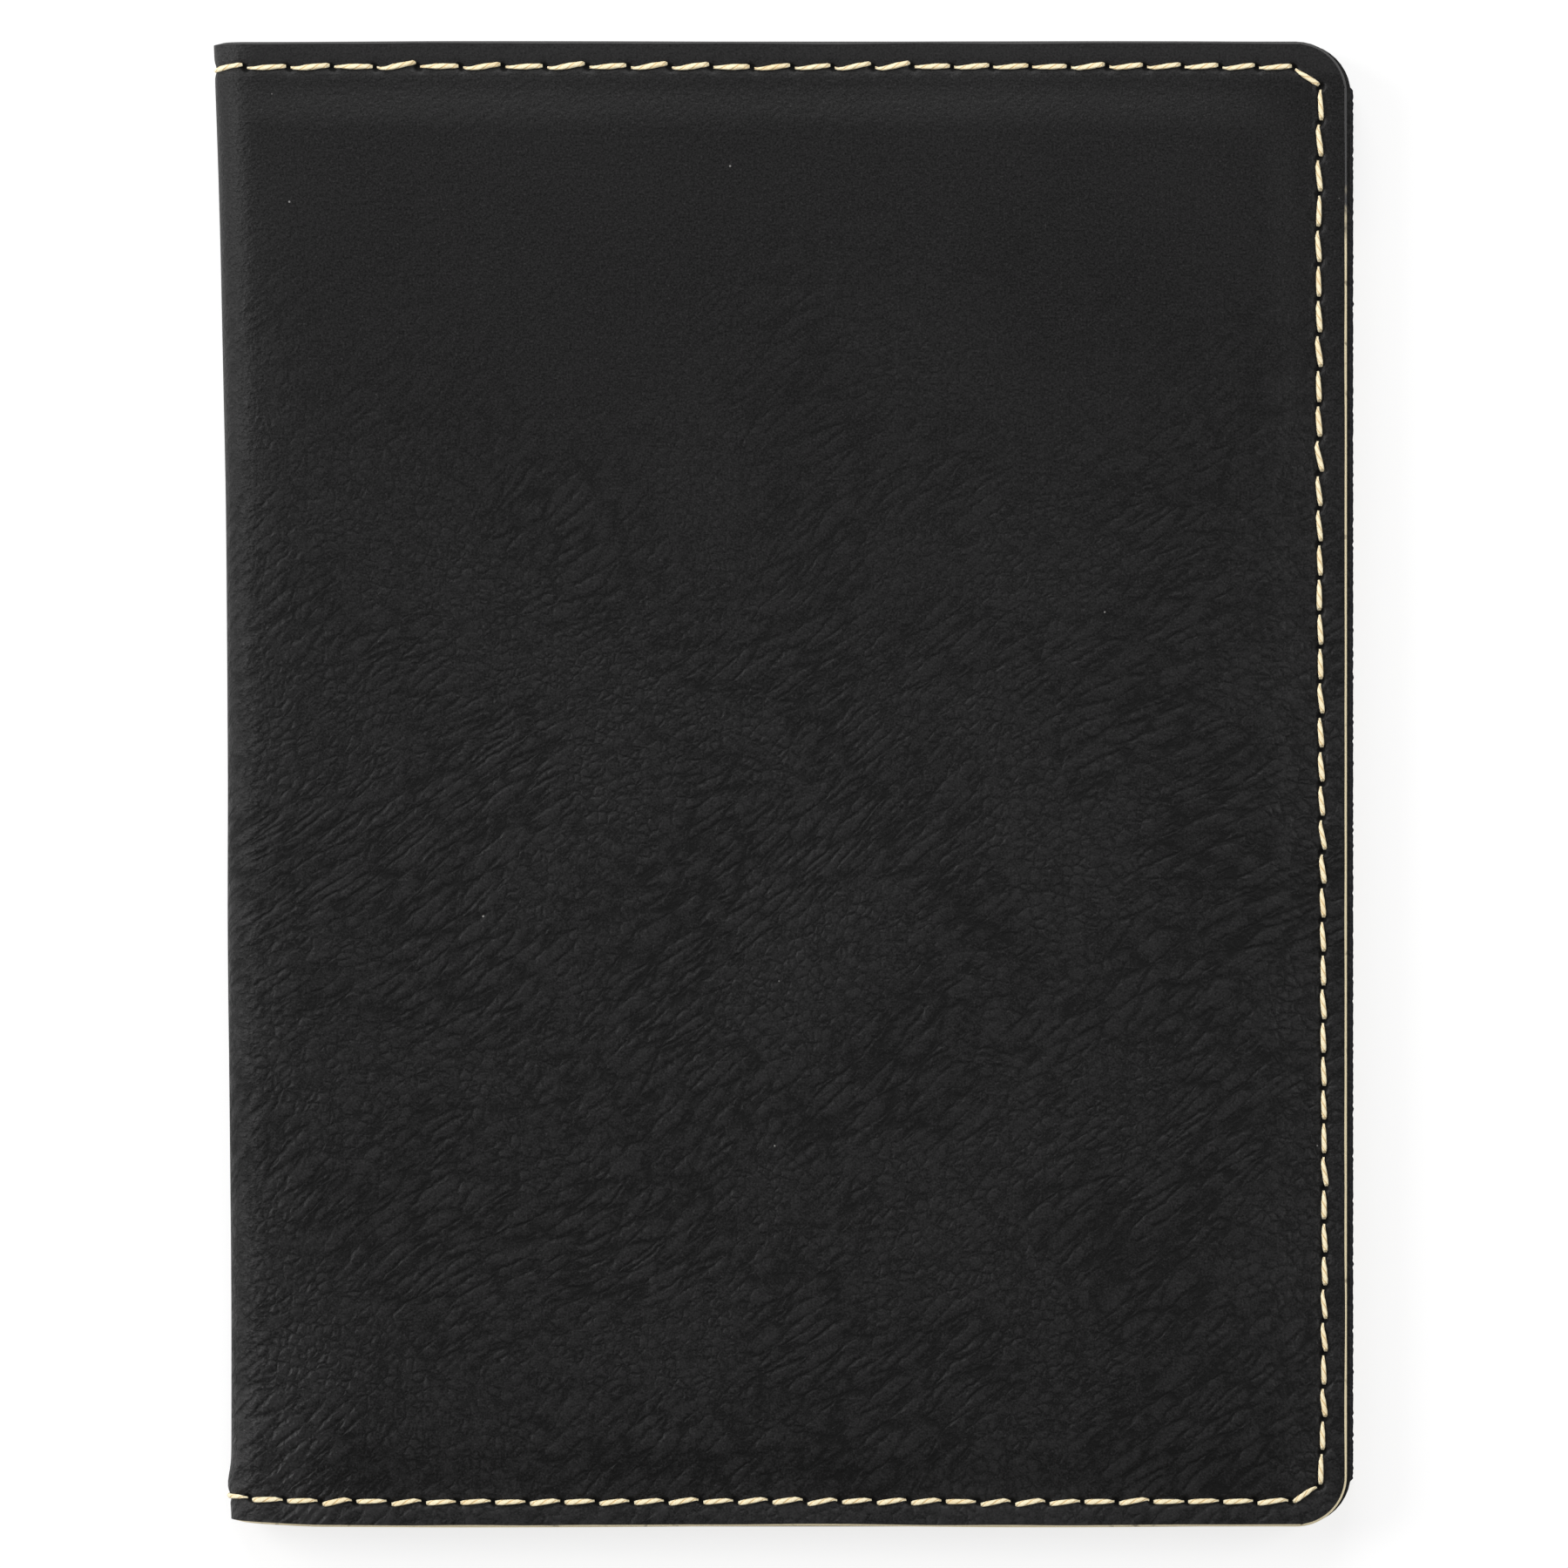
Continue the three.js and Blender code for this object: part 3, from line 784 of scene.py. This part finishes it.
class Graph:
    """The nodes of one new material."""

    def __init__(self, name):
        self.material = bpy.data.materials.new(name)
        self.material.use_nodes = True
        self.tree = self.material.node_tree
        self.tree.nodes.clear()

    def node(self, kind, settings=None, inputs=None, output=0):
        """Adds a node, sets it, fills or links its sockets and gives back one of its outputs."""
        made = self.tree.nodes.new(kind)
        for key, value in (settings or {}).items():
            setattr(made, key, value)
        for key, value in (inputs or {}).items():
            if isinstance(value, Value):
                self.tree.links.new(value.socket, made.inputs[key])
            else:
                made.inputs[key].default_value = value
        return Value(self, made.outputs[output] if len(made.outputs) else None)

    def mix(self, share, first, second):
        settings = {"data_type": "RGBA"}
        return self.node("ShaderNodeMix", settings, {0: share, 6: first, 7: second}, output=2)

    def noise(self, vector, scale, detail=2.0, rough=0.5):
        inputs = {"Vector": vector, "Scale": scale, "Detail": detail, "Roughness": rough}
        return self.node("ShaderNodeTexNoise", None, inputs)

    def cells(self, vector):
        """How far a point lies from the border of its cell; cells are one unit wide."""
        settings = {"feature": "DISTANCE_TO_EDGE"}
        return self.node("ShaderNodeTexVoronoi", settings, {"Vector": vector, "Scale": 1.0})

    def drift(self, vector, scale, reach):
        """Pushes a pattern's place about, so that its lines flow."""
        push = self.node("ShaderNodeTexNoise", None, {"Vector": vector, "Scale": scale, "Detail": 1.0}, output=1)
        settings = {"operation": "MULTIPLY_ADD"}
        return self.node("ShaderNodeVectorMath", settings, {0: push, 1: (reach, reach, 0), 2: vector})

    def grain_place(self, vector, turn, length, width):
        """Lays a pattern's cells this long and wide, along a turned line."""
        inputs = {"Vector": vector, "Rotation": (0, 0, math.radians(turn)), "Scale": (length, width, 1)}
        return self.node("ShaderNodeMapping", {"vector_type": "TEXTURE"}, inputs)

    def part(self, vector, index):
        return self.node("ShaderNodeSeparateXYZ", None, {0: vector}, output=index)

    def bump(self, height, strength, distance):
        inputs = {"Height": height, "Strength": strength, "Distance": distance}
        return self.node("ShaderNodeBump", None, inputs)

    def surface(self, **inputs):
        """Closes the material with a principled surface; underscores stand for spaces."""
        named = {key.replace("_", " "): value for key, value in inputs.items()}
        shader = self.node("ShaderNodeBsdfPrincipled", None, named)
        self.node("ShaderNodeOutputMaterial", None, {"Surface": shader})
        return self.material


def rgba(colour, share=1.0):
    return (*(channel * share for channel in colour), 1)


def flat_millimetres(graph):
    """The flat sheet's own place, in millimetres."""
    uv = graph.node("ShaderNodeUVMap", {"uv_map": "flat"})
    return graph.node("ShaderNodeMapping", None, {"Vector": uv, "Scale": (UV_SPAN, UV_SPAN, UV_SPAN)})


def place_millimetres(graph):
    """The object's own place, in millimetres."""
    place = graph.node("ShaderNodeTexCoord", None, None, output=3)
    return graph.node("ShaderNodeMapping", None, {"Vector": place, "Scale": (1000, 1000, 1000)})


def once(make):
    """Makes a material the first time it is asked for and gives it back after that."""
    made = {}

    def get():
        if "material" not in made:
            made["material"] = make()
        return made["material"]

    return get


def lerp_value(share, low, high):
    """From low to high as a pattern's share goes from 0 to 1."""
    return share * (high - low) + low


@once
def leather_material():
    """Pebbles in flowing rows that grow from head to foot, over fine mottling and sparse flecks; painted shade
    darkens the grooves and needle holes, and painted highlights and glints lighten the rubbed corner, the fold and
    the head and foot margins.
    """
    graph = Graph("black_leatherette")
    flat = flat_millimetres(graph)
    up = graph.part(flat, 1)
    flow = graph.drift(graph.drift(flat, 0.022, 13.0), 0.25, 0.8)
    frayed = graph.drift(flow, 1.3, 0.36)
    pebbles = graph.cells(graph.grain_place(frayed, 42, 1.0, 0.9)).over(-0.06, 0.4)
    creases = graph.cells(graph.grain_place(frayed, 38, 4.6, 1.2)).over(-0.04, 0.3)
    patches = graph.noise(flat, 0.035, 2.0)
    coarse = (up * -1 + patches * 60).over(-30, 34)
    across = graph.part(flat, 0).math_abs()
    # By the spine's foot the grain is glossier and deeper, and its pebble tops are painted lighter as painted
    # highlight, with painted glints.
    rubbed_with_painted_highlight = (16 - across).over(0, 12) * (up * -1 - 44).over(0, 20)
    # Over the rolled fold the grain is deeper and rougher, and carries painted glints.
    rolled_with_painted_glints = (6 - across).over(0, 3)
    # Over the head and foot margins the colour is lighter as painted highlight, more at the head than at the foot.
    painted_margin_light = (up.math_abs() - 66).over(0, 1.6)
    rowed = graph.noise(flat, 0.06, 1.0).over(0.4, 0.58)
    fine = graph.noise(flat, 2.4, 3.0, 0.6)
    tiny = graph.noise(flat, 5.5, 2.0, 0.6)
    deep = graph.noise(flow, 0.55, 1.0).over(0.3, 0.6)
    grooves = (1 - pebbles) * lerp_value(rowed, 0.9, 0.5) + (1 - creases) * lerp_value(rowed, 0.15, 1.0)
    cut = grooves * lerp_value(deep, 0.5, 1.0)
    specks = graph.node("ShaderNodeTexVoronoi", {"feature": "F1"}, {"Vector": flat, "Scale": 0.17})
    dust = 1 - specks.over(0.012, 0.022)
    glint = tiny.over(0.6, 0.72) * fine.over(0.5, 0.62)
    hole = graph.node("ShaderNodeAttribute", {"attribute_name": "needle_hole"}, None, output=2).over(0.06, 0.4)
    tone = graph.noise(flat, 0.05, 2.0)
    # Darker colour in the grain's grooves and creases is painted shade; the fine and tiny noise add mottled tone.
    groove_shade_and_mottle = (0.5 - cut) * lerp_value(coarse, 0.08, 0.7) + (fine - 0.5) * 0.9 + (tiny - 0.5) * 2.2
    # The colour's share: painted groove shade and mottle, random tone, and painted highlight on the rubbed corner
    # and the head and foot margins.
    tone_and_painted_light = groove_shade_and_mottle + (tone - 0.5) * 0.25 + 0.4 + rubbed_with_painted_highlight * fine * 0.9 + painted_margin_light * (up * 0.0011 + 0.33)
    base = graph.mix(tone_and_painted_light, rgba(colours().leather, 0.05), rgba(colours().leather, 2.1))
    # Grey dust flecks, and pale glints that are painted highlights, more over the rubbed corner and the fold.
    dusted_with_painted_glints = graph.mix(dust * 0.7 + glint * (rubbed_with_painted_highlight * 0.15 + rolled_with_painted_glints * 0.06 + 0.05), base, (0.3, 0.29, 0.28, 1))
    # The needle holes are painted near black as painted shade.
    shaded = graph.mix(hole, dusted_with_painted_glints, (0.001, 0.001, 0.001, 1))
    rough = 0.45 + cut * coarse * 0.12 - fine * 0.08 - glint * 0.12 - rubbed_with_painted_highlight * 0.08 + rolled_with_painted_glints * 0.08 + hole * 0.4
    grain = fine * 0.5 + tiny * 0.2 - cut * lerp_value(coarse, 0.12, 1.0)
    normal = graph.bump(grain * (rubbed_with_painted_highlight * 0.8 + 1) + fine * rolled_with_painted_glints * 1.6, 1.0, 0.000085)
    return graph.surface(Base_Color=shaded, Roughness=rough, Normal=normal, Specular_IOR_Level=0.22)


@once
def pocket_material():
    graph = Graph("thin_black_leatherette")
    scaled = place_millimetres(graph)
    pebbles = graph.cells(graph.grain_place(graph.drift(scaled, 0.9, 0.4), 20, 0.8, 0.65)).over(-0.05, 0.35)
    fine = graph.noise(scaled, 4.0, 3.0, 0.6)
    tone = graph.noise(scaled, 0.06, 2.0)
    # The pebbles' darker edges in the colour are painted shade in the grain's grooves, over random tone and fine
    # mottling.
    tone_and_painted_light = tone * 0.3 + pebbles * 0.3 + fine * 0.4
    base = graph.mix(tone_and_painted_light, rgba(colours().leather, 0.3), rgba(colours().leather, 1.3))
    normal = graph.bump(pebbles * 0.6 + fine * 0.5, 1.0, 0.00007)
    rough = 0.5 + fine * 0.14 - pebbles * 0.06
    return graph.surface(Base_Color=base, Roughness=rough, Normal=normal, Specular_IOR_Level=0.22)


@once
def edge_material():
    """The leatherette's cream backing at its cut edge, dyed dark towards the head."""
    graph = Graph("cream_backing")
    flat = flat_millimetres(graph)
    fibres = graph.noise(flat, 7.0, 3.0, 0.7)
    patches = graph.noise(flat, 0.8, 2.0)
    dyed = (graph.part(flat, 1) + patches * 8).over(54, 60)
    pale = graph.mix(fibres, rgba(colours().core, 0.6), rgba(colours().core, 1.1))
    stained = graph.mix(patches.over(0.62, 0.74) * 0.7, pale, (0.12, 0.09, 0.05, 1))
    base = graph.mix(dyed, stained, (0.035, 0.034, 0.034, 1))
    normal = graph.bump(fibres, 0.6, 0.00006)
    return graph.surface(Base_Color=base, Roughness=0.85, Normal=normal)


@once
def lining_material():
    graph = Graph("dark_lining")
    flat = flat_millimetres(graph)
    bands = {"Vector": flat, "Scale": 0.9, "Distortion": 0.4}
    warp = graph.node("ShaderNodeTexWave", {"bands_direction": "X"}, bands)
    weft = graph.node("ShaderNodeTexWave", {"bands_direction": "Y"}, bands)
    fibres = graph.noise(flat, 6.0, 4.0, 0.7)
    weave = warp * 0.5 + weft * 0.5
    base = graph.mix(weave * fibres, rgba(colours().lining, 0.5), rgba(colours().lining, 1.6))
    normal = graph.bump(weave + fibres * 0.4, 0.6, 0.00012)
    return graph.surface(Base_Color=base, Roughness=0.8, Normal=normal, Sheen_Weight=0.15)


@once
def thread_material():
    """Cream thread of two plies, with painted shade as a darker line where they meet."""
    graph = Graph("cream_thread")
    strand = graph.node("ShaderNodeUVMap", {"uv_map": "strand"})
    wind = graph.part(strand, 0) * 1.1 + graph.part(strand, 1) * 2
    plies = (wind * math.pi).sine().math_abs().over(0.0, 0.5)
    scaled = place_millimetres(graph)
    fibres = graph.noise(scaled, 6.0, 3.0, 0.6)
    soil = graph.noise(scaled, 0.3, 2.0)
    pale = graph.mix(fibres.over(0.3, 0.7), rgba(colours().thread, 0.85), rgba(colours().thread, 1.05))
    worn = graph.mix(soil.over(0.5, 0.75) * 0.25, pale, (0.8, 0.5, 0.16, 1))
    # The line where the plies meet is painted darker gold as painted shade.
    base = graph.mix(plies, (0.75, 0.5, 0.2, 1), worn)
    normal = graph.bump(plies + fibres * 0.5, 0.8, 0.00005)
    return graph.surface(Base_Color=base, Roughness=0.6, Normal=normal, Sheen_Weight=0.15)


@once
def board_material():
    graph = Graph("pulp_board")
    scaled = place_millimetres(graph)
    pulp = graph.noise(scaled, 1.4, 5.0, 0.7)
    base = graph.mix(pulp, rgba(colours().board, 0.7), rgba(colours().board, 1.2))
    normal = graph.bump(pulp, 0.4, 0.0001)
    return graph.surface(Base_Color=base, Roughness=0.9, Normal=normal)


class HOLDER_OT_stage(bpy.types.Operator):
    """Lay the pale floor, hang the soft lamps and set the camera straight above"""

    bl_idname = "holder.stage"
    bl_label = "Stage"

    def execute(self, context):
        self.lay_floor()
        self.light_room()
        self.add_lamp("left_lamp", (-0.62, 0.16, 0.4), 0.45, 4.2)
        self.add_lamp("right_lamp", (0.6, 0.1, 0.45), 0.35, 1.5)
        self.add_lamp("top_lamp", (-0.1, 0.7, 0.55), 0.5, 3.2)
        self.set_camera()
        context.scene.view_settings.view_transform = "Standard"
        return {"FINISHED"}

    def lay_floor(self):
        bm = bmesh.new()
        bmesh.ops.create_grid(bm, x_segments=1, y_segments=1, size=3)
        graph = Graph("pale_floor")
        diffuse = graph.node("ShaderNodeBsdfDiffuse", None, {"Color": (0.85, 0.85, 0.85, 1)})
        path = graph.tree.nodes.new("ShaderNodeLightPath")
        seen = Value(graph, path.outputs["Is Camera Ray"]) + Value(graph, path.outputs["Is Glossy Ray"])
        shadowed = graph.node("ShaderNodeBsdfDiffuse", None, {"Color": (0.34, 0.34, 0.34, 1)})
        glow = graph.node("ShaderNodeEmission", None, {"Color": (1, 1, 1, 1), "Strength": 0.72})
        bright = graph.node("ShaderNodeAddShader", None, {0: shadowed, 1: glow})
        mixed = graph.node("ShaderNodeMixShader", None, {0: seen, 1: diffuse, 2: bright})
        graph.node("ShaderNodeOutputMaterial", None, {"Surface": mixed})
        new_object("floor", bm, [graph.material])

    def light_room(self):
        world = bpy.data.worlds.new("room")
        world.use_nodes = True
        world.node_tree.nodes["Background"].inputs["Color"].default_value = (1, 1, 1, 1)
        world.node_tree.nodes["Background"].inputs["Strength"].default_value = 0.35
        bpy.context.scene.world = world

    def add_lamp(self, name, place, size, power):
        lamp = bpy.data.lights.new(name, "AREA")
        lamp.size = size
        lamp.energy = power
        obj = bpy.data.objects.new(name, lamp)
        obj.location = place
        obj.rotation_euler = Vector(place).to_track_quat("Z", "Y").to_euler()
        bpy.context.scene.collection.objects.link(obj)

    def set_camera(self):
        """The view is as wide as 1800 pixels at 12.226 pixels to the millimetre."""
        view_width = 1800 / 12.226 * MM
        distance = 0.9
        camera = bpy.data.cameras.new("camera")
        camera.sensor_width = 36
        camera.lens = camera.sensor_width * distance / view_width
        obj = bpy.data.objects.new("camera", camera)
        obj.location = (-0.4 * MM, 0, CAD_HIGH.z + distance)
        bpy.context.scene.collection.objects.link(obj)
        bpy.context.scene.camera = obj


class HOLDER_PT_panel(bpy.types.Panel):
    """The holder's sizes, colours and pieces"""

    bl_idname = "HOLDER_PT_panel"
    bl_label = "Travel document holder"
    bl_space_type = "VIEW_3D"
    bl_region_type = "UI"
    bl_category = "Holder"

    def draw(self, context):
        for group in (context.scene.holder_sizes, context.scene.holder_colours):
            for name in group.__annotations__:
                self.layout.prop(group, name)
        for operator in OPERATORS:
            self.layout.operator(operator.bl_idname)


OPERATORS = [
    HOLDER_OT_stage,
    HOLDER_OT_leather,
    HOLDER_OT_lining,
    HOLDER_OT_pockets,
    HOLDER_OT_outer_seams,
    HOLDER_OT_inner_seams,
    HOLDER_OT_boards,
]
CLASSES = [HolderSizes, HolderColours, *OPERATORS, HOLDER_PT_panel]


def register():
    for cls in CLASSES:
        bpy.utils.register_class(cls)
    bpy.types.Scene.holder_sizes = bpy.props.PointerProperty(type=HolderSizes)
    bpy.types.Scene.holder_colours = bpy.props.PointerProperty(type=HolderColours)


def unregister():
    del bpy.types.Scene.holder_colours
    del bpy.types.Scene.holder_sizes
    for cls in reversed(CLASSES):
        bpy.utils.unregister_class(cls)


def main():
    register()
    bpy.ops.holder.stage()
    bpy.ops.holder.leather()
    bpy.ops.holder.lining()
    bpy.ops.holder.pockets()
    bpy.ops.holder.outer_seams()
    bpy.ops.holder.inner_seams()
    bpy.ops.holder.boards()


if __name__ == "__main__":
    main()
